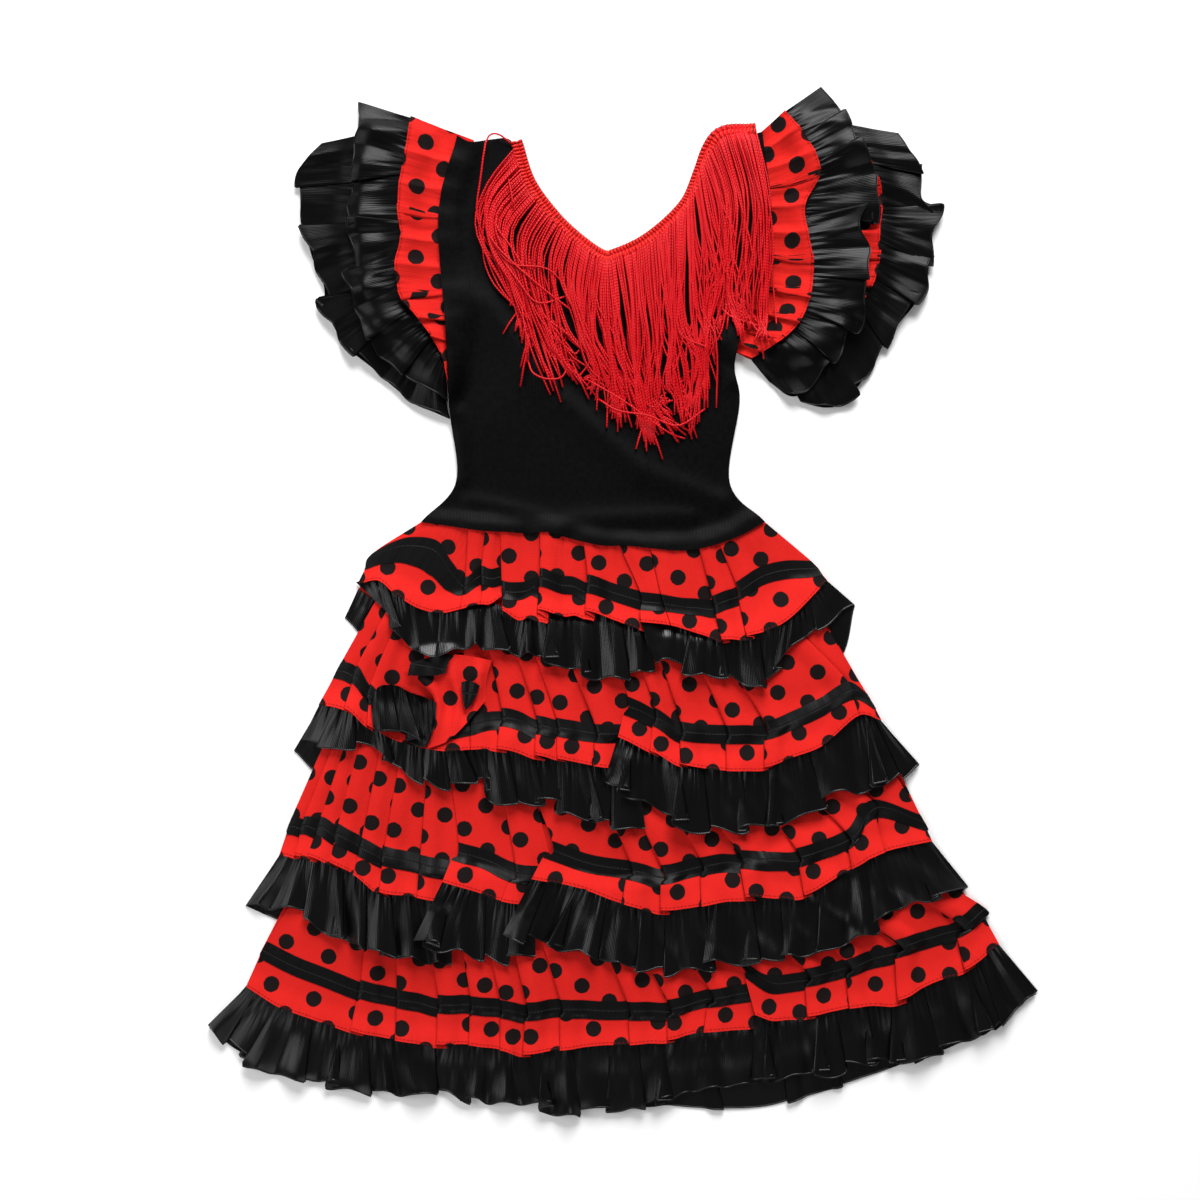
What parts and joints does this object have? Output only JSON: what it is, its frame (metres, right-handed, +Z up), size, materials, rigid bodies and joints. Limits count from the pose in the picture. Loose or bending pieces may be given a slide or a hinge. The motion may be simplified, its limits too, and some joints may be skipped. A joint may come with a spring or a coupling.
{
  "type": "flamenco dress",
  "caption": "Child's tiered flamenco dress laid flat, with ruffled sleeves, ribboned skirt tiers and a fringed V neck, for dance or fancy dress.",
  "frame": {"origin": "middle of the dress's box, on the surface it lies on", "axes": "+Y from hem to shoulders, +X to the viewer's right, +Z up out of the dress's front"},
  "size_m": [0.6694, 0.8252, 0.021],
  "materials": {
    "red_dotted_cotton": "matte plain weave printed with dark dots",
    "black_satin": "soft satin sheen",
    "black_jersey": "matte knit",
    "red_rayon": "shiny twisted cord"
  },
  "bodies": {
    "root": {"bodice_back": "black_jersey", "bodice_front": "black_jersey", "neck_fringe": "red_rayon", "ribbon_1_back": "black_satin", "ribbon_1_front_left": "black_satin", "ribbon_1_front_right": "black_satin", "ribbon_2_back": "black_satin", "ribbon_2_front_left": "black_satin", "ribbon_2_front_right": "black_satin", "ribbon_3_back": "black_satin", "ribbon_3_front_left": "black_satin", "ribbon_3_front_middle": "black_satin", "ribbon_3_front_right": "black_satin", "ribbon_4_back": "black_satin", "ribbon_4_front_left": "black_satin", "ribbon_4_front_right": "black_satin", "ruffle_1_back": "black_satin", "ruffle_1_front_left": "black_satin", "ruffle_1_front_right": "black_satin", "ruffle_2_back": "black_satin", "ruffle_2_front_left": "black_satin", "ruffle_2_front_right": "black_satin", "ruffle_3_back": "black_satin", "ruffle_3_front_left": "black_satin", "ruffle_3_front_middle": "black_satin", "ruffle_3_front_right": "black_satin", "ruffle_4_back": "black_satin", "ruffle_4_front_left": "black_satin", "ruffle_4_front_right": "black_satin", "sleeve_left_lower_back": "red_dotted_cotton", "sleeve_left_lower_front": "red_dotted_cotton", "sleeve_left_lower_ruffle_back": "black_satin", "sleeve_left_lower_ruffle_front": "black_satin", "sleeve_left_upper_back": "red_dotted_cotton", "sleeve_left_upper_front": "red_dotted_cotton", "sleeve_left_upper_ruffle_back": "black_satin", "sleeve_left_upper_ruffle_front": "black_satin", "sleeve_right_lower_back": "red_dotted_cotton", "sleeve_right_lower_front": "red_dotted_cotton", "sleeve_right_lower_ruffle_back": "black_satin", "sleeve_right_lower_ruffle_front": "black_satin", "sleeve_right_upper_back": "red_dotted_cotton", "sleeve_right_upper_front": "red_dotted_cotton", "sleeve_right_upper_ruffle_back": "black_satin", "sleeve_right_upper_ruffle_front": "black_satin", "tier_1_back": "red_dotted_cotton", "tier_1_front_left": "red_dotted_cotton", "tier_1_front_right": "red_dotted_cotton", "tier_2_back": "red_dotted_cotton", "tier_2_front_left": "red_dotted_cotton", "tier_2_front_right": "red_dotted_cotton", "tier_2_turned_fold": "red_dotted_cotton", "tier_3_back": "red_dotted_cotton", "tier_3_front_left": "red_dotted_cotton", "tier_3_front_middle": "red_dotted_cotton", "tier_3_front_right": "red_dotted_cotton", "tier_4_back": "red_dotted_cotton", "tier_4_front_left": "red_dotted_cotton", "tier_4_front_right": "red_dotted_cotton"}
  },
  "joints": []
}
